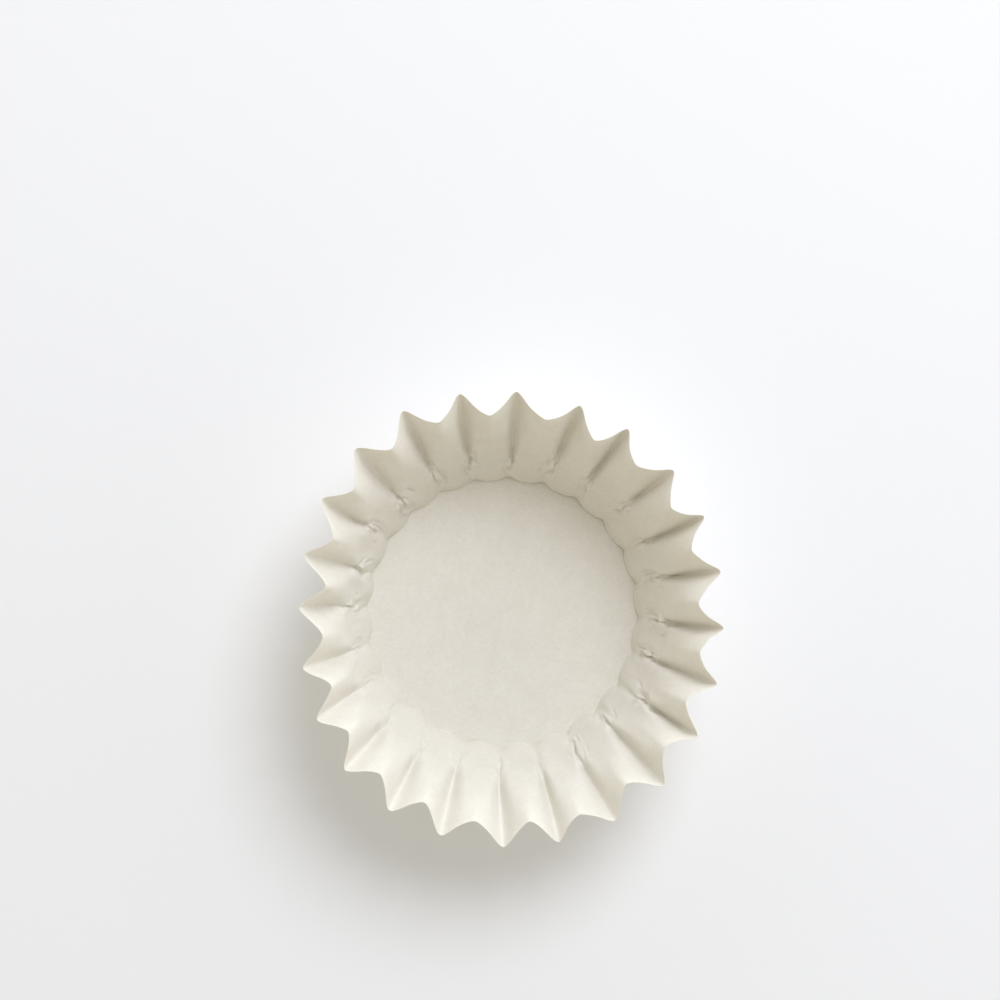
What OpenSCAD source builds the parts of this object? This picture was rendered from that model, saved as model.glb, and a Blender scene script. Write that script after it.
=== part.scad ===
// A basket coffee filter: one disc of filter paper, pressed to a flat base and a flaring fluted wall.
// The origin is the centre of the base's underside, +Z is up, and the filter stands open side up.
// Paper doesn't stretch, so a ring of the wall is as long as it was in the flat disc, and the flutes
// are as deep as that makes them. They run out low on the wall, and only shallow creases go on from
// there to the fold.

/* [Paper] */
// Diameter of the flat disc that the filter is pressed from
blank_d = 232; // [215:1:250]
// Thickness of the paper
paper_t = 0.15; // [0.1:0.01:0.4]

/* [Base] */
// Mean diameter of the flat base, at the fold round it
base_d = 110; // [90:1:120]
// Depth of the scallops that the flutes press into the fold
scallop_depth = 1.8; // [1:0.1:3]

/* [Rim] */
// Mean diameter of the rim, halfway between the crests and the ridges
rim_d = 167; // [155:1:180]
// How far the rim is squeezed to an oval, in percent of its radius
rim_oval = 3.9; // [0:0.1:5]
// Turn of the oval's longer diameter from the +Y axis, in degrees
oval_turn = 8; // [-20:1:20]
// How far the rim is squared, with rounded corners between the axes, in percent of its radius
rim_squareness = 1.2; // [0:0.1:2]
// How far the soft wall has leaned, at the rim, towards +X
lean_x = 2.8; // [-4:0.1:4]
// How far the soft wall has leaned, at the rim, towards +Y
lean_y = -1; // [-4:0.1:4]

/* [Flutes] */
// Number of flutes round the wall
flutes = 24; // [18:1:30]
// How much tighter the outward crests are bent than the broad inward ridges
tightness = 1.6; // [0.5:0.1:2.5]
// Turn of the first crest from the +X axis, in degrees
first_crest = 12.6; // [0:0.1:15]
// Distance up the wall from the fold to the flutes' lower ends
flute_start = 25; // [18:0.5:32]
// Length of wall over which a flute runs out at its lower end
flute_run_out = 8; // [4:0.5:12]
// Depth of the creases that go on from the flutes to the fold
crease_depth = 1.1; // [0.5:0.1:1.8]

/* [Hidden] */

base_r = base_d / 2;
rim_r = rim_d / 2;
wall_len = blank_d / 2 - base_r;
// Outward run of the wall for each millimetre along it, which is the cosine of its slope
flare = (rim_r - base_r) / wall_len;
slope = acos(flare);

// The wall is drawn in bands up its length: two from the fold to the flutes' ends, one over the
// ends, and the rest up the flutes, closer together low down, where the flutes deepen fastest
flute_bands = 4;
band_bias = 1.3;
flute_low = flute_start - flute_run_out / 2;
flute_top = flute_start + flute_run_out / 2;
slants = [0, flute_low / 2, flute_low,
    for (i = [0:flute_bands])
        flute_top + (wall_len - flute_top) * pow(i / flute_bands, band_bias)];
bands = len(slants) - 1;

// It is drawn in steps round each flute, which lie closer together towards the crests
steps = 14;
crowding = 0.5;
ring_points = flutes * steps;
even = [for (k = [0:ring_points - 1]) k * 360 / steps];
phases = [for (turn = even) turn - crowding * sin(turn) * 180 / PI];

// A phase of 0 is an outward crest and 180 an inward ridge
function polar(phase) = first_crest + phase / flutes;

// How far a flute stands out at a phase: 1 on its crest and 0 on its ridge
function bell(phase) = exp(tightness * (cos(phase) - 1));
function rise(phase) = (bell(phase) - bell(180)) / (1 - bell(180));

// How far handling has pressed the rim out of round, as a share of its radius
function press(angle) =
    (rim_oval * cos(2 * (angle - 90 - oval_turn)) - rim_squareness * cos(4 * angle)) / 100;

// A point of the wall, found from its slant distance from the fold. The ridges lie half a flute's
// depth inside the ring's mean radius, and the crests stand out from them by as much as the grooves
// are deep. A point has moved outward from the fold, and its height makes up the rest of its slant
// distance, so the crests, which lean out further, end lower than the ridges.
function wall_point(slant, depth, groove, phase, pressed = 1) =
    let (angle = polar(phase),
         outward = [cos(angle), sin(angle)],
         share = pressed * slant / wall_len,
         fold = (base_r + scallop_depth * (rise(phase) - 1 / 2)) * outward,
         ring_r = (base_r + flare * slant) * (1 + share * press(angle)),
         place = (ring_r - depth / 2 + groove * rise(phase)) * outward + share * [lean_x, lean_y],
         run = norm(place - fold))
    [place.x, place.y, sqrt(max(0, slant * slant - run * run))];

// Length of a ring over one flute, before it was pressed out of round, and its length in the disc
gauge_steps = 24;
function ring_length(slant, depth, k = 0) =
    k == gauge_steps ? 0 :
    norm(wall_point(slant, depth, depth, (k + 1) * 360 / gauge_steps, 0)
        - wall_point(slant, depth, depth, k * 360 / gauge_steps, 0))
    + ring_length(slant, depth, k + 1);
function flat_length(slant) = ring_length(0, scallop_depth) + 2 * PI * slant / flutes;

// The depth of flute that fits the paper's own length into the ring, by halving a bracket
deepest = rim_r / 2;
halvings = 16;
function fitted_depth(slant, low = 0, high = deepest, tries = halvings) =
    let (mid = (low + high) / 2)
    tries == 0 ? mid :
    ring_length(slant, mid) < flat_length(slant) ?
        fitted_depth(slant, mid, high, tries - 1) :
        fitted_depth(slant, low, mid, tries - 1);

function groove(slant, depth) = slant > 0 && slant < flute_start ? crease_depth : depth;
outer = [for (slant = slants)
    let (depth = slant == 0 ? scallop_depth : fitted_depth(slant))
    [for (phase = phases) wall_point(slant, depth, groove(slant, depth), phase)]];

// The inner face lies the paper's thickness inside the outer one, along its normal
function unit(v) = v / norm(v);
function normal_at(i, k) =
    let (up = outer[min(i + 1, bands)][k] - outer[max(i - 1, 0)][k],
         round = outer[i][(k + 1) % ring_points] - outer[i][(k + ring_points - 1) % ring_points])
    unit(cross(up, round));
// On the fold the inner corner is where the base's and the wall's inner faces meet
fold_step = paper_t * tan(slope / 2);
function inner_fold(k) =
    let (inward = unit(cross([0, 0, 1],
        outer[0][(k + 1) % ring_points] - outer[0][(k + ring_points - 1) % ring_points])))
    outer[0][k] + fold_step * inward + [0, 0, paper_t];
inner = [for (i = [0:bands]) [for (k = [0:ring_points - 1])
    i == 0 ? inner_fold(k) : outer[i][k] + paper_t * normal_at(i, k)]];

// Number of a point in the list of outer rings, then inner rings, then the base's two centres
function at(ring, k) = ring * ring_points + k % ring_points;
first_inner = bands + 1;
last_inner = 2 * bands + 1;
outer_centre = at(last_inner + 1, 0);
inner_centre = outer_centre + 1;

// Two triangles between neighbouring rings. Their diagonal is mirrored about each crest and ridge.
function tile(a, b, c, d, k) =
    k % steps < steps / 2 ? [[a, b, c], [a, c, d]] : [[a, b, d], [b, c, d]];
function band_faces(ring) = [for (k = [0:ring_points - 1])
    each tile(at(ring, k), at(ring + 1, k), at(ring + 1, k + 1), at(ring, k + 1), k)];
function turned(faces) = [for (face = faces) [face[2], face[1], face[0]]];
function fan(centre, ring) = [for (k = [0:ring_points - 1]) [centre, at(ring, k), at(ring, k + 1)]];

module coffee_filter() {
    color("ivory")
    polyhedron(
        points = [each each outer, each each inner, [0, 0, 0], [0, 0, paper_t]],
        faces = [
            // The wall's outer and inner faces
            for (i = [0:bands - 1]) each band_faces(i),
            for (i = [0:bands - 1]) each turned(band_faces(first_inner + i)),
            // The cut edge round the rim
            for (k = [0:ring_points - 1])
                each tile(at(bands, k), at(last_inner, k), at(last_inner, k + 1), at(bands, k + 1), k),
            // The base's underside and its upper face
            each fan(outer_centre, 0),
            each turned(fan(inner_centre, first_inner))
        ]
    );
}

coffee_filter();
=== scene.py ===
"""A basket coffee filter of warm white filter paper, seen from straight above on a white table.

The sheet is worked out in millimetres, and its mesh is scaled to metres at the end.
"""

import math

import bpy
import numpy as np
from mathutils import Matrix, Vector

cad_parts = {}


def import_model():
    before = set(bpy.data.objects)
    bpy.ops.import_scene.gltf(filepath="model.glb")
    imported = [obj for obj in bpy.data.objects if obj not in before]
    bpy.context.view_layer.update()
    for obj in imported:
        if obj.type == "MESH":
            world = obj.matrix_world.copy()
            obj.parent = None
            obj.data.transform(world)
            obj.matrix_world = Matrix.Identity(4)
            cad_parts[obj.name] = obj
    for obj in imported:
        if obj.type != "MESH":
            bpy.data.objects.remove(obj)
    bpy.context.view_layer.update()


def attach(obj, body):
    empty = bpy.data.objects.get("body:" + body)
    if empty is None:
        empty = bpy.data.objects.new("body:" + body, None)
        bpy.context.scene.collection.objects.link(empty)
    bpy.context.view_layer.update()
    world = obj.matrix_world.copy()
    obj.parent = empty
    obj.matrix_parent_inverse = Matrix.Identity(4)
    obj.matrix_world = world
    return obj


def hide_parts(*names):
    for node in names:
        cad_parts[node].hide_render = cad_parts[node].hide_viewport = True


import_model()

MM = 0.001
TURN = 2 * math.pi

# The sheet, as in the solid: the disc it is pressed from, its base, its rim and its flutes
BLANK_R = 116
PAPER_T = 0.15
BASE_R = 55
HALF_SCALLOP = 0.9
RIM_R = 83.5
FLUTES = 24
FIRST_CREST = math.radians(12.6)
WALL_LEN = BLANK_R - BASE_R
FLARE = (RIM_R - BASE_R) / WALL_LEN

# How handling has pressed the rim out of round, as shares of its radius, and how far it has leaned
OVAL, OVAL_TURN = 0.039, math.radians(98)
SQUARE, SQUARE_TURN = 0.013, math.radians(39)
LOBES, LOBES_TURN = 0.0095, math.radians(4)
LEAN = np.array([2.8, -1.0])

# The range of distances from the fold at which the flutes run out in their pinches, and how far
# below and above its end a flute does so
FLUTE_ENDS = (19.5, 30.5)
MEAN_END = sum(FLUTE_ENDS) / 2
RUN_BELOW, RUN_ABOVE = 1.5, 3.5

# The depth of the creases below the pinches, and how far up the fold's scallops fade into them
CREASE_DEPTH = 1.1
SCALLOP_FADE = 6

# Crests are bent tighter than ridges, most of all where the flutes end low on the wall, and more
# on one side of the filter than on the other. The bend at the fold is kept for a short way up.
BEND_AT_FOLD = 0.9
BEND_KEPT = 4
BEND_LOW = 7
BEND_AT_RIM = 1.2
BEND_ASIDE, BEND_ASIDE_TURN = 1.7, math.radians(15)

# Towards the rim the sides of a flute are straighter. A sharpness of 1 would be a knife edge.
STRAIGHT_AT_RIM = 0.55
SHARPNESS = 0.95

# How far the flutes sway to a side, and how far the rim swells at their crests and ridges
SWAY = math.radians(0.35)
CREST_SWELL, RIDGE_SWELL = 0.16, 0.45

# How much wider and longer a pinch is than its lengths below, how deep its creases are at most
# where they cross, and half the width of its sharpest creases
PINCH_SIZE = 1.3
PINCH_DEEPEST = 2.3
SHARP_CREASE = 0.42

# The side of the filter where the pinches are slight, the cosines of the turn from it between
# which they grow so, and their strength there. On another side they are arched most.
CALM_TURN = math.radians(245)
CALM_EDGE = (0.2, 0.85)
CALM_STRENGTH = 0.25
ARCHED_TURN = math.radians(85)

# The fold is rounded over this distance to each side. The base springs up inside it, most of all
# towards one side, where the fold is a fine line.
FOLD_ROUND = 0.2
BASE_RISE = 0.4
RISE_WIDTH = 0.8
SHARP_TURN = math.radians(55)

# Mesh points round the sheet, which crowd towards the crests, most of all at the rim
POINTS = FLUTES * 36
CROWDING, CROWDING_AT_RIM = 0.4, 0.6

# Bands of mesh rings: the distances from the fold between which each lies, and its steps. They go
# from the base over the fold's rounding and up to the rim, and are fine there and at the pinches.
# Below the pinches the sheet has half as many points round it.
FINE = (8, 32)
BANDS = ((-1.4, -0.4, 4), (-0.4, 0.4, 6), (0.4, FINE[0], 7), (*FINE, 36), (FINE[1], WALL_LEN, 8))

# Rings of the base, as shares of its radius
BASE_RINGS = np.linspace(0.96, 0.05, 14)

SEED = 7

# The darkest and the lightest tone of the paper, and the colour of the table
PAPER_DARK, PAPER_LIGHT = (0.735, 0.702, 0.622), (0.83, 0.803, 0.737)
TABLE_WHITE = (0.872, 0.874, 0.888)

# The main light: its turn from the +X axis, its rise above the table, its distance and its size in
# metres, and its power and colour
KEY_TURN = math.radians(62)
KEY_RISE = math.radians(52)
KEY_DISTANCE = 2.2
KEY_SIZE = 1.3
KEY_POWER = 29.5
KEY_COLOUR = (0.905, 0.935, 1)

# The light from all round, on the side away from the main light and on its own side
FILL_AWAY, FILL_NEAR = (0.50, 0.45, 0.29), (0.32, 0.35, 0.46)

# A band of light low over the table: its colour, its strength at the horizon on the main light's
# side, the share of that on the other side, and the sine of the rise at which it fades out
BAND_COLOUR = (1, 0.99, 0.96)
BAND_STRENGTH = 2.4
BAND_AWAY = 0.3
BAND_TOP = 0.625

# The camera's height in metres, the millimetres of table under each pixel, the picture's width in
# pixels, and the place of its middle on the table in metres
CAMERA_HEIGHT = 1.35
MM_A_PIXEL = 0.412
PICTURE_PIXELS = 1000
MIDDLE = (-0.0012, 0.0461)


def smooth_step(low, high, x):
    t = np.clip((x - low) / (high - low), 0, 1)
    return t * t * (3 - 2 * t)


def blend(a, b, share):
    return a + (b - a) * share


def wobble(angle, rng, first, last, rms):
    """A smooth random wave round the sheet, of the harmonics first to last."""
    orders = np.arange(first, last + 1)
    size = rng.normal(size=len(orders))
    turn = rng.uniform(0, TURN, len(orders))
    wave = (size * np.cos(orders * angle[..., None] + turn)).sum(-1)
    return rms * wave / math.sqrt((size ** 2).sum() / 2)


def ripple(x, y, rng, shortest, longest, rms, waves=14):
    """Soft random unevenness over a flat stretch of paper, as a sum of plane waves."""
    total = np.zeros_like(x)
    for _ in range(waves):
        length = rng.uniform(shortest, longest)
        heading = rng.uniform(0, TURN)
        shift = rng.uniform(0, TURN)
        along = x * math.cos(heading) + y * math.sin(heading)
        total += np.cos(TURN * along / length + shift)
    return rms * total / math.sqrt(waves / 2)


def rise(phase, tightness, straight=0):
    """How far a flute stands out: 1 on its narrow crest, and 0 on its ridge, half a turn on."""
    least = np.exp(-2 * tightness)
    curved = (np.exp(tightness * (np.cos(phase) - 1)) - least) / (1 - least)
    corner = math.acos(SHARPNESS)
    folded = (math.pi - corner - np.arccos(SHARPNESS * np.cos(phase))) / (math.pi - 2 * corner)
    return blend(curved, folded, straight)


def bend(slant, end):
    """How tightly a crest is bent, and how straight its flute's sides are."""
    low = blend(BEND_AT_FOLD, BEND_LOW, smooth_step(BEND_KEPT, end, slant))
    share = np.clip((slant - end) / (WALL_LEN - end), 0, 1)
    # The width of a bend grows evenly from the flute's end up to the rim
    width = blend(BEND_LOW ** -0.5, BEND_AT_RIM ** -0.5, share)
    return np.where(share > 0, width ** -2, low), STRAIGHT_AT_RIM * share


def press(angle):
    """How far the rim is pressed out of round, as a share of its radius."""
    return (OVAL * np.cos(2 * (angle - OVAL_TURN))
            + SQUARE * np.cos(4 * (angle - SQUARE_TURN))
            + LOBES * np.cos(3 * (angle - LOBES_TURN)))


def fold_radius(phase):
    """Distance of the scalloped fold from the middle of the base."""
    return BASE_R + HALF_SCALLOP * (2 * rise(phase, BEND_AT_FOLD) - 1)


def even_flute_length(slant, half_depth, steps=144):
    """Length of one even flute of a ring, before it was pressed out of round."""
    phase = np.linspace(0, TURN, steps + 1)
    angle = phase / FLUTES
    out = 2 * rise(phase, *bend(slant, MEAN_END)) - 1
    radius = BASE_R + FLARE * slant + half_depth * out
    height = np.sqrt(np.maximum(slant ** 2 - (radius - fold_radius(phase)) ** 2, 0))
    ring = np.stack([radius * np.cos(angle), radius * np.sin(angle), height], -1)
    return np.linalg.norm(np.diff(ring, axis=0), axis=1).sum()


def fitted_half_depth(slant, halvings=18):
    """Half the flute depth that fits the disc's own length into a ring, as paper can't stretch."""
    if slant <= 0:
        return HALF_SCALLOP
    flat = even_flute_length(0, HALF_SCALLOP) + TURN * slant / FLUTES
    low, high = 0.0, RIM_R / 4
    for _ in range(halvings):
        mid = (low + high) / 2
        if even_flute_length(slant, mid) < flat:
            low = mid
        else:
            high = mid
    return low


def crease(u, v, line, half_width, depth):
    """A sharp valley along a bent line across the paper, which fades towards both ends.

    Here and below, u and v are distances round the wall and up it, from the end of a flute.
    """
    nearest = np.full(u.shape, np.inf)
    place = np.zeros(u.shape)
    for i, (start, end) in enumerate(zip(line, line[1:])):
        along_u, along_v = end[0] - start[0], end[1] - start[1]
        off_u, off_v = u - start[0], v - start[1]
        share = (off_u * along_u + off_v * along_v) / (along_u ** 2 + along_v ** 2)
        share = np.clip(share, 0, 1)
        off2 = (off_u - share * along_u) ** 2 + (off_v - share * along_v) ** 2
        place = np.where(off2 < nearest, (i + share) / (len(line) - 1), place)
        nearest = np.minimum(off2, nearest)
    fade = 0.2 + 0.8 * np.sin(math.pi * place)
    return -depth * fade * np.exp(-nearest / half_width ** 2)


def dome(u, v, centre, radius):
    """A soft round bulge, one millimetre high."""
    return np.exp(-((u - centre[0]) ** 2 + (v - centre[1]) ** 2) / radius ** 2)


def arc(u, v, centre, radius, facing, reach, half_width, depth):
    """A sharp valley along part of a circle, deepest where it faces."""
    du, dv = u - centre[0], v - centre[1]
    turned = (np.arctan2(dv, du) - facing + math.pi) % TURN - math.pi
    fade = np.clip(1 - (turned / reach) ** 2, 0, 1)
    return -depth * fade * np.exp(-((np.hypot(du, dv) - radius) / half_width) ** 2)


def groove_end(u, v, side, arching, each):
    """The sharp crease that a groove ends in, a few millimetres long, askew and crooked."""
    length = each(2.6, 5.0)
    tail = (side * length * np.tan(np.radians(each(6, 26))), -length)
    knee = (tail[0] * each(-0.3, 0.6), -length * each(0.3, 0.65))
    depth = each(1.9, 3.2) * (1 - 0.4 * arching)
    reliefs = [crease(u, v, ((0.0, 1.0), knee, tail), SHARP_CREASE, depth)]
    # A small peak stands at its bend, and a short crease forks off its lower end
    peak = (knee[0] - side * 0.8, knee[1] + each(-0.5, 0.5))
    reliefs.append(0.45 * dome(u, v, peak, radius=0.55))
    fork = (tail[0] - side * each(0.8, 2.2), tail[1] - each(0.3, 1.6))
    reliefs.append(crease(u, v, (tail, fork), SHARP_CREASE, depth=each(0.5, 1.6)))
    return tail, reliefs


def arch(u, v, side, arching, each):
    """A bent crease arched over a groove's end, and the bulge of the paper below it."""
    peak = (side * each(-0.6, 0.6), each(-1.6, 0.4))
    left = (peak[0] - each(1.6, 3.0), peak[1] - each(0.7, 1.7))
    right = (peak[0] + each(1.6, 3.0), peak[1] - each(0.5, 1.5))
    depth = each(0.2, 0.9) + 1.1 * arching
    return [crease(u, v, (left, peak, right), half_width=0.45, depth=depth),
            depth * dome(u, v, (peak[0], peak[1] - 1.5), radius=1.2)]


def arcs_beside(u, v, side, tail, each):
    """The bulge beside a groove's end, inside a flat arc and a fainter one."""
    stand_off = each(1.6, 2.6)
    radius = each(4.0, 6.5)
    arc_v = tail[1] * each(0.7, 1.2)
    facing = np.where(side > 0, 0, math.pi) + each(-0.3, 0.3)
    reliefs = [0.4 * dome(u, v, (side * stand_off * 0.5, arc_v), radius=1.4)]
    strength = each(0.4, 1.3)
    for further, depth in ((0, 1.5), (each(0.9, 1.4), 0.9)):
        centre = (side * (stand_off + further - radius), arc_v)
        reach = each(0.5, 0.8)
        valley = arc(u, v, centre, radius, facing, reach, half_width=0.5, depth=depth)
        reliefs.append(strength * valley)
    return reliefs


def ripples_across(u, v, side, tail, each):
    """Soft ripples across the other side of a groove's end."""
    wave = np.cos(TURN * v / each(1.1, 1.8) + each(0, TURN))
    return [0.1 * wave * dome(u, v, (tail[0] - side * 1.4, tail[1] + 0.6), radius=2.2)]


def short_creases(u, v, each, creases=5):
    """Short creases round about, most of them down the wall."""
    reliefs = []
    for _ in range(creases):
        from_u, from_v = each(-3.5, 3.5), each(-4.5, 1.5)
        heading = each(-0.9, 0.9)
        length = each(1.0, 3.0)
        to = (from_u + length * np.sin(heading), from_v - length * np.cos(heading))
        reliefs.append(crease(u, v, ((from_u, from_v), to), SHARP_CREASE, depth=each(0.1, 1.1)))
    return reliefs


def pinches(slant, round_crest, flute, ends, rng):
    """The crinkles where each flute runs out low on the wall, as a height towards the inside.

    round_crest is the distance round the wall from the nearest crest, and ends holds the slant
    distance of each flute's end from the fold.
    """
    def each(low, high):
        """A random number for each flute, at the points of that flute."""
        return rng.uniform(low, high, FLUTES)[flute]

    side = np.where(rng.random(FLUTES) < 0.5, -1.0, 1.0)[flute]
    turn = FIRST_CREST + flute * TURN / FLUTES
    calm = smooth_step(*CALM_EDGE, np.cos(turn - CALM_TURN))
    strength = each(0.85, 1.2) * blend(1, CALM_STRENGTH, calm)
    arching = 0.5 + 0.5 * np.cos(turn - ARCHED_TURN)
    # Distances are as seen from above, where the steep wall is foreshortened
    u, v = round_crest / PINCH_SIZE, FLARE * (slant - ends[flute]) / PINCH_SIZE
    fold = (0.0, -FLARE * ends[flute] / PINCH_SIZE)

    tail, reliefs = groove_end(u, v, side, arching, each)
    reliefs += arch(u, v, side, arching, each)
    reliefs += arcs_beside(u, v, side, tail, each)
    reliefs += ripples_across(u, v, side, tail, each)
    reliefs += short_creases(u, v, each)
    # A shallow crease runs on to the fold
    reliefs.append(crease(u, v, (tail, fold), half_width=0.8, depth=0.2))
    return PINCH_DEEPEST * np.tanh(sum(reliefs) * strength / PINCH_DEEPEST)


def grid_normals(points):
    """Normals of rings of points round the sheet, towards its inside."""
    up = np.gradient(points, axis=0)
    on = np.roll(points, -1, axis=1) - np.roll(points, 1, axis=1)
    normal = np.cross(on, up)
    return -normal / np.linalg.norm(normal, axis=-1, keepdims=True)


def ring_slants():
    """Distances of the wall's rings from the fold, where those on the base are negative."""
    bands = [np.linspace(low, high, steps + 1)[1:] for low, high, steps in BANDS]
    return np.concatenate([[BANDS[0][0]], *bands])


def point_grid(slants):
    """The slant distance and the angle of each point of the rings."""
    even_turns = np.arange(POINTS) * TURN / POINTS * FLUTES
    slant, even = np.meshgrid(slants, even_turns, indexing="ij")
    crowding = blend(CROWDING, CROWDING_AT_RIM, smooth_step(FINE[1], WALL_LEN, slant))
    return slant, FIRST_CREST + (even - crowding * np.sin(even)) / FLUTES


def distance_climbed(slant):
    """Distance up the wall. Over the fold's rounding the sheet leaves the table bit by bit."""
    climb = np.clip(slant, 0, None)
    rounded = np.abs(slant) < FOLD_ROUND
    climb[rounded] = (slant[rounded] + FOLD_ROUND) ** 2 / (4 * FOLD_ROUND)
    return climb


def wall_rings(rng):
    """Rings of the outer face, from just inside the fold up the wall to the rim."""
    slants = ring_slants()
    slant, angle = point_grid(slants)
    climb = distance_climbed(slant)
    share = climb / WALL_LEN

    sway = (wobble(angle, rng, first=3, last=14, rms=SWAY) * share
            + wobble(angle, rng, first=6, last=16, rms=SWAY) * np.sin(math.pi * share))
    phase = (angle + sway - FIRST_CREST) * FLUTES
    flute = np.round(phase / TURN).astype(int)
    ends = rng.uniform(*FLUTE_ENDS, FLUTES)
    end = ends[flute % FLUTES]
    tightness, straight = bend(slant, end)
    crest = rise(phase, tightness * BEND_ASIDE ** np.cos(angle - BEND_ASIDE_TURN), straight)
    at_crest = wobble(angle, rng, first=6, last=16, rms=CREST_SWELL)
    at_ridge = wobble(angle, rng, first=6, last=16, rms=RIDGE_SWELL)
    swell = share * blend(at_ridge, at_crest, crest)

    # A flute runs out at its pinch, and only a shallow crease is left of it below
    half_depth = np.array([fitted_half_depth(x) for x in slants])[:, None]
    shallow = blend(2 * HALF_SCALLOP, CREASE_DEPTH, smooth_step(0, SCALLOP_FADE, slant))
    groove = blend(shallow, 2 * half_depth, smooth_step(end - RUN_BELOW, end + RUN_ABOVE, slant))

    outward = np.stack([np.cos(angle), np.sin(angle)], -1)
    fold = fold_radius(phase)[..., None] * outward
    even_r = (BASE_R + FLARE * climb) * (1 + share * press(angle))
    ring_r = even_r - half_depth + groove * crest + swell
    place = ring_r[..., None] * outward + share[..., None] * LEAN
    height = np.sqrt(np.maximum(climb ** 2 - ((place - fold) ** 2).sum(-1), 0))

    # The base springs up inside the fold, unevenly and least at the crests
    wave = wobble(angle, rng, first=8, last=30, rms=0.2)
    spring = 0.5 + 0.5 * np.cos(angle - SHARP_TURN) + wave - 0.3 * crest
    height += BASE_RISE * np.clip(spring, 0.05, 1) * smooth_step(0, RISE_WIDTH, -slant)
    flat = place + (slant - climb)[..., None] * outward
    points = np.concatenate([flat, height[..., None]], -1)

    crest_angle = FIRST_CREST + flute * TURN / FLUTES - sway
    round_crest = (angle - crest_angle) * np.hypot(points[..., 0], points[..., 1])
    lift = pinches(slant, round_crest, flute % FLUTES, ends, rng) * smooth_step(0, 3, slant)
    # Soft unevenness all over
    uneven = ripple(angle * RIM_R, slant, rng, shortest=9, longest=28, rms=0.09)
    lift += uneven * smooth_step(1, 8, slant)
    points += lift[..., None] * grid_normals(points)
    return [ring[::2] if at <= FINE[0] else ring for at, ring in zip(slants, points)]


def base_rings(edge):
    """Rings of the base, inwards from its edge, with half as many points at every third ring."""
    rings = []
    mean_r = np.hypot(edge[:, 0], edge[:, 1]).mean()
    for i, share in enumerate(BASE_RINGS):
        if i % 3 == 1 and len(edge) % 2 == 0:
            edge = edge[::2]
        angle = np.arctan2(edge[:, 1], edge[:, 0])
        # The scallops of the edge fade quickly
        radius = share * blend(mean_r, np.hypot(edge[:, 0], edge[:, 1]), share ** 6)
        rings.append(np.stack([radius * np.cos(angle), radius * np.sin(angle), edge[:, 2]], -1))
    return rings


def raise_base(rings):
    """Lets the base lie unevenly, from the height that its edge springs up to."""
    for ring in rings:
        x, y = ring[:, 0], ring[:, 1]
        inside = smooth_step(1, 16, BASE_R - np.hypot(x, y))
        # The same seed for each ring carries the waves on from ring to ring
        rng = np.random.default_rng(SEED)
        uneven = ripple(x, y, rng, shortest=24, longest=70, rms=0.1) + 0.5
        ring[:, 2] = blend(ring[:, 2], np.maximum(uneven, 0), inside)


def between(outer, inner, first_outer, first_inner):
    """Faces between a ring and the next one inwards, which has as many points or half as many."""
    faces = []
    step = outer // inner
    for k in range(inner):
        a, b = first_inner + k, first_inner + (k + 1) % inner
        c = [first_outer + (step * k + j) % outer for j in range(step + 1)]
        if step == 1:
            faces.append((a, c[0], c[1], b))
        else:
            faces += [(a, c[0], c[1]), (a, c[1], b), (b, c[1], c[2])]
    return faces


def sheet_faces(counts):
    """Faces of one side of the sheet, from the rim to its middle point, seen from inside."""
    faces = []
    firsts = np.concatenate([[0], np.cumsum(counts)])
    for i in range(len(counts) - 1):
        faces += between(counts[i], counts[i + 1], firsts[i], firsts[i + 1])
    middle = int(firsts[-1])
    last = int(firsts[-2])
    faces += [(middle, last + k, last + (k + 1) % counts[-1]) for k in range(counts[-1])]
    return [tuple(int(i) for i in face) for face in faces]


def point_normals(points, faces):
    """Normals at the points, as the mean of the faces round each.

    A face's own normal lies across two sides of a triangle, or across the diagonals of a quad.
    """
    normals = np.zeros_like(points)
    for size, (a, b, c, d) in ((3, (0, 1, 0, 2)), (4, (0, 2, 1, 3))):
        corners = np.array([face for face in faces if len(face) == size]).T
        first = points[corners[b]] - points[corners[a]]
        second = points[corners[d]] - points[corners[c]]
        across = np.cross(first, second)
        for corner in corners:
            np.add.at(normals, corner, across)
    return normals / np.linalg.norm(normals, axis=1, keepdims=True)


def keep_rim_sharp(mesh, rim, far):
    """Marks the edges of the rim's cut edge, which has rim points from 0 and from far onwards."""
    sharp = mesh.attributes.new("sharp_edge", "BOOLEAN", "EDGE")
    tips = np.zeros(2 * len(mesh.edges), int)
    mesh.edges.foreach_get("vertices", tips)
    on_rim = ((tips < rim) | ((tips >= far) & (tips < far + rim))).reshape(-1, 2).all(1)
    sharp.data.foreach_set("value", on_rim)


def filter_sheet():
    """The whole filter: one sheet of paper with two faces and a cut edge round the rim."""
    rng = np.random.default_rng(SEED)
    wall = wall_rings(rng)[::-1]
    base = base_rings(wall[-1]) + [np.zeros((1, 3))]
    raise_base(base)
    outer = np.concatenate(wall + base)
    rings = wall + base[:-1]
    inward = sheet_faces([len(ring) for ring in rings])
    inner = outer + PAPER_T * point_normals(outer, inward)

    far = len(outer)
    outward = [face[::-1] for face in inward]
    inward = [tuple(i + far for i in face) for face in inward]
    rim = len(wall[0])
    edge = [(k, (k + 1) % rim, far + (k + 1) % rim, far + k) for k in range(rim)]
    mesh = bpy.data.meshes.new("filter_sheet")
    mesh.from_pydata((np.concatenate([outer, inner]) * MM).tolist(), [], outward + inward + edge)
    mesh.polygons.foreach_set("use_smooth", [True] * len(mesh.polygons))
    keep_rim_sharp(mesh, rim, far)
    mesh.update()
    sheet = bpy.data.objects.new("filter_sheet", mesh)
    bpy.context.scene.collection.objects.link(sheet)
    return sheet


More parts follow.
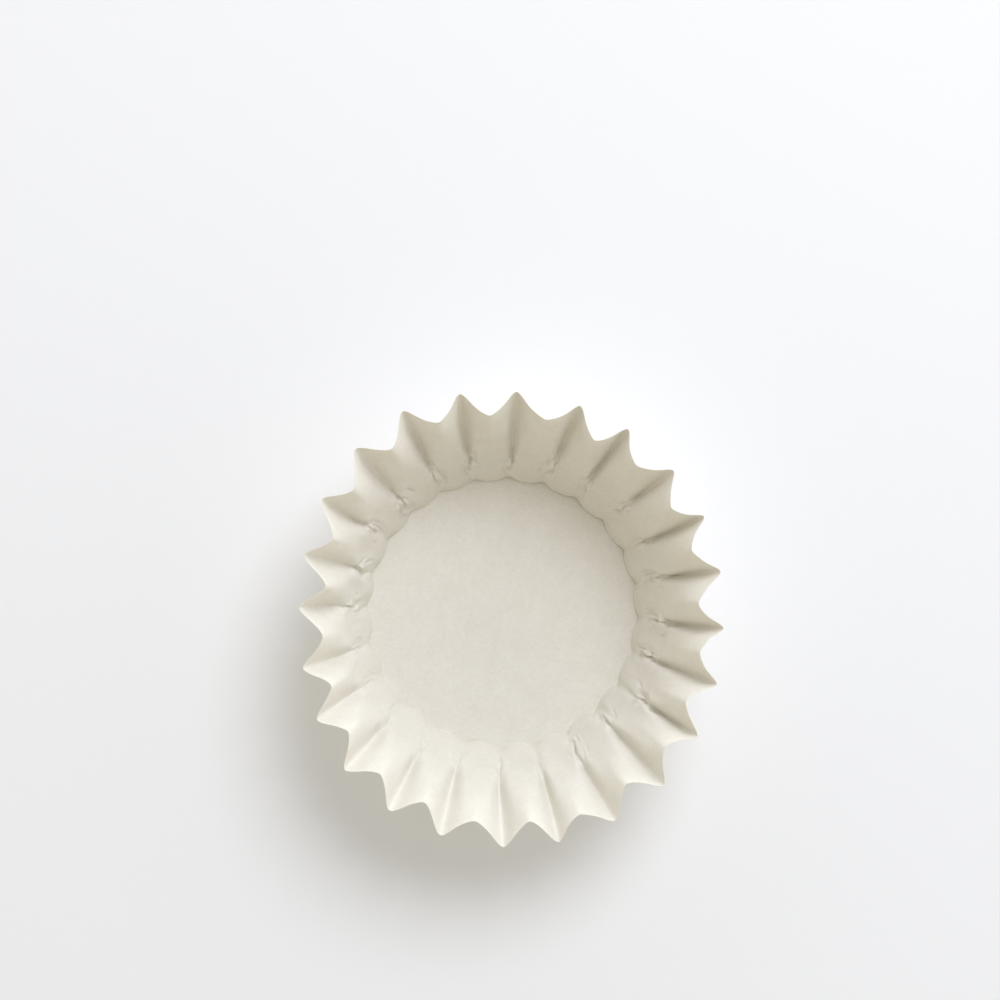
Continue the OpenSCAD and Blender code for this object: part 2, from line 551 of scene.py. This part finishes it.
class Nodes:
    """A tree of shader nodes, made and joined in short calls."""

    def __init__(self, tree):
        self.tree = tree

    def add(self, kind, **values):
        node = self.tree.nodes.new(kind)
        for name, value in values.items():
            setattr(node, name, value)
        return node

    def join(self, out, into):
        self.tree.links.new(out, into)

    def place(self, scale):
        """The object's own coordinates, stretched."""
        coordinates = self.add("ShaderNodeTexCoord")
        mapping = self.add("ShaderNodeMapping")
        mapping.inputs["Scale"].default_value = scale
        self.join(coordinates.outputs["Object"], mapping.inputs["Vector"])
        return mapping.outputs["Vector"]

    def noise(self, where, scale, detail, roughness=0.55):
        """Noise with so many blotches to a metre."""
        noise = self.add("ShaderNodeTexNoise")
        noise.inputs["Scale"].default_value = scale
        noise.inputs["Detail"].default_value = detail
        noise.inputs["Roughness"].default_value = roughness
        self.join(where, noise.inputs["Vector"])
        return noise.outputs["Fac"]

    def ranged(self, value, low, high, to_low, to_high):
        ranged = self.add("ShaderNodeMapRange")
        ends = {"From Min": low, "From Max": high, "To Min": to_low, "To Max": to_high}
        for socket, number in ends.items():
            ranged.inputs[socket].default_value = number
        self.join(value, ranged.inputs["Value"])
        return ranged.outputs["Result"]

    def combine(self, operation, a, b):
        node = self.add("ShaderNodeMath", operation=operation)
        for socket, value in zip(node.inputs, (a, b)):
            if isinstance(value, (int, float)):
                socket.default_value = value
            else:
                self.join(value, socket)
        return node.outputs["Value"]

    def dot(self, vector, axis):
        node = self.add("ShaderNodeVectorMath", operation="DOT_PRODUCT")
        self.join(vector, node.inputs[0])
        node.inputs[1].default_value = axis
        return node.outputs["Value"]

    def mix(self, share, a, b):
        node = self.add("ShaderNodeMix", data_type="RGBA")
        self.join(share, node.inputs["Factor"])
        for name, colour in (("A", a), ("B", b)):
            socket = next(s for s in node.inputs if s.name == name and s.type == "RGBA")
            if isinstance(colour, tuple):
                socket.default_value = (*colour, 1)
            else:
                self.join(colour, socket)
        return next(s for s in node.outputs if s.type == "RGBA")


def filter_paper():
    """Warm white filter paper, cloudy with uneven pulp, with fine fibres and no shine."""
    material = bpy.data.materials.new("filter_paper")
    material.use_nodes = True
    paper = Nodes(material.node_tree)
    shader = paper.tree.nodes["Principled BSDF"]
    even = paper.place((1, 1, 1))
    drawn = paper.place((0.35, 1, 1))
    clouds = paper.noise(even, scale=110, detail=3)
    mottle = paper.noise(even, scale=620, detail=2)
    fibres = paper.noise(drawn, scale=1500, detail=3, roughness=0.65)
    grain = paper.noise(even, scale=2600, detail=2, roughness=0.6)
    cloudy = paper.ranged(clouds, 0.3, 0.7, 0, 0.3)
    mottled = paper.ranged(mottle, 0.3, 0.7, 0, 0.3)
    uneven = paper.combine("ADD", cloudy, mottled)
    tone = paper.combine("ADD", uneven, paper.ranged(fibres, 0.3, 0.7, 0, 0.4))
    paper.join(paper.mix(tone, PAPER_DARK, PAPER_LIGHT), shader.inputs["Base Color"])
    relief = paper.combine("ADD", paper.combine("MULTIPLY", grain, 0.6), fibres)
    bump = paper.add("ShaderNodeBump")
    bump.inputs["Strength"].default_value = 0.35
    bump.inputs["Distance"].default_value = 0.05 * MM
    paper.join(relief, bump.inputs["Height"])
    paper.join(bump.outputs["Normal"], shader.inputs["Normal"])
    shader.inputs["Roughness"].default_value = 0.85
    shader.inputs["Specular IOR Level"].default_value = 0.25
    return material


def floor():
    """A white table, wide enough to fill every view from above, and just clear of the filter."""
    half = 3.0
    level = -0.1 * MM
    mesh = bpy.data.meshes.new("table")
    corners = [(-half, -half), (half, -half), (half, half), (-half, half)]
    mesh.from_pydata([(x, y, level) for x, y in corners], [], [(0, 1, 2, 3)])
    table = bpy.data.objects.new("table", mesh)
    bpy.context.scene.collection.objects.link(table)
    white = bpy.data.materials.new("table_white")
    white.use_nodes = True
    shader = white.node_tree.nodes["Principled BSDF"]
    shader.inputs["Base Color"].default_value = (*TABLE_WHITE, 1)
    shader.inputs["Roughness"].default_value = 0.9
    mesh.materials.append(white)
    return table


def world():
    """Soft light from all round, and a low band of it that is strongest on the main light's side.

    The camera and reflections see plain white.
    """
    made = bpy.data.worlds.new("studio")
    made.use_nodes = True
    made.node_tree.nodes.clear()
    sky = Nodes(made.node_tree)
    direction = sky.add("ShaderNodeTexCoord").outputs["Generated"]
    towards_key = sky.dot(direction, (math.cos(KEY_TURN), math.sin(KEY_TURN), 0))
    share = sky.ranged(towards_key, -1, 1, 0, 1)
    height = sky.dot(direction, (0, 0, 1))
    low = sky.ranged(height, 0, BAND_TOP, BAND_STRENGTH, 0)
    band = sky.add("ShaderNodeBackground")
    band.inputs["Color"].default_value = (*BAND_COLOUR, 1)
    around = sky.ranged(towards_key, -1, 1, BAND_AWAY, 1)
    sky.join(sky.combine("MULTIPLY", around, low), band.inputs["Strength"])
    fill = sky.add("ShaderNodeBackground")
    sky.join(sky.mix(share, FILL_AWAY, FILL_NEAR), fill.inputs["Color"])
    both = sky.add("ShaderNodeAddShader")
    sky.join(band.outputs["Background"], both.inputs[0])
    sky.join(fill.outputs["Background"], both.inputs[1])
    white = sky.add("ShaderNodeBackground")
    white.inputs["Color"].default_value = (1, 1, 1, 1)
    path = sky.add("ShaderNodeLightPath")
    seen = sky.combine("MAXIMUM", path.outputs["Is Camera Ray"], path.outputs["Is Glossy Ray"])
    choice = sky.add("ShaderNodeMixShader")
    sky.join(seen, choice.inputs["Fac"])
    sky.join(both.outputs["Shader"], choice.inputs[1])
    sky.join(white.outputs["Background"], choice.inputs[2])
    out = sky.add("ShaderNodeOutputWorld")
    sky.join(choice.outputs["Shader"], out.inputs["Surface"])
    bpy.context.scene.world = made


def key():
    """The main light, soft and high at the upper right, aimed at the middle of the base."""
    light = bpy.data.lights.new("key", "AREA")
    light.shape = "DISK"
    light.size = KEY_SIZE
    light.energy = KEY_POWER
    light.color = KEY_COLOUR
    out = KEY_DISTANCE * math.cos(KEY_RISE)
    up = KEY_DISTANCE * math.sin(KEY_RISE)
    place = Vector((out * math.cos(KEY_TURN), out * math.sin(KEY_TURN), up))
    lamp = bpy.data.objects.new("key", light)
    lamp.location = place
    lamp.rotation_euler = (-place).to_track_quat("-Z", "Y").to_euler()
    bpy.context.scene.collection.objects.link(lamp)


def camera():
    """Straight above, a little up the table from the filter, as the photograph was taken."""
    view = bpy.data.cameras.new("camera")
    view.sensor_width = 36
    view.lens = view.sensor_width * CAMERA_HEIGHT / (PICTURE_PIXELS * MM_A_PIXEL * MM)
    seen = bpy.data.objects.new("camera", view)
    seen.location = (*MIDDLE, CAMERA_HEIGHT)
    bpy.context.scene.collection.objects.link(seen)
    bpy.context.scene.camera = seen


camera()
world()
key()
floor()

sheet = filter_sheet()
sheet.data.materials.append(filter_paper())
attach(sheet, "root")
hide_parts("coffee_filter")

bpy.context.scene.view_settings.view_transform = "Standard"
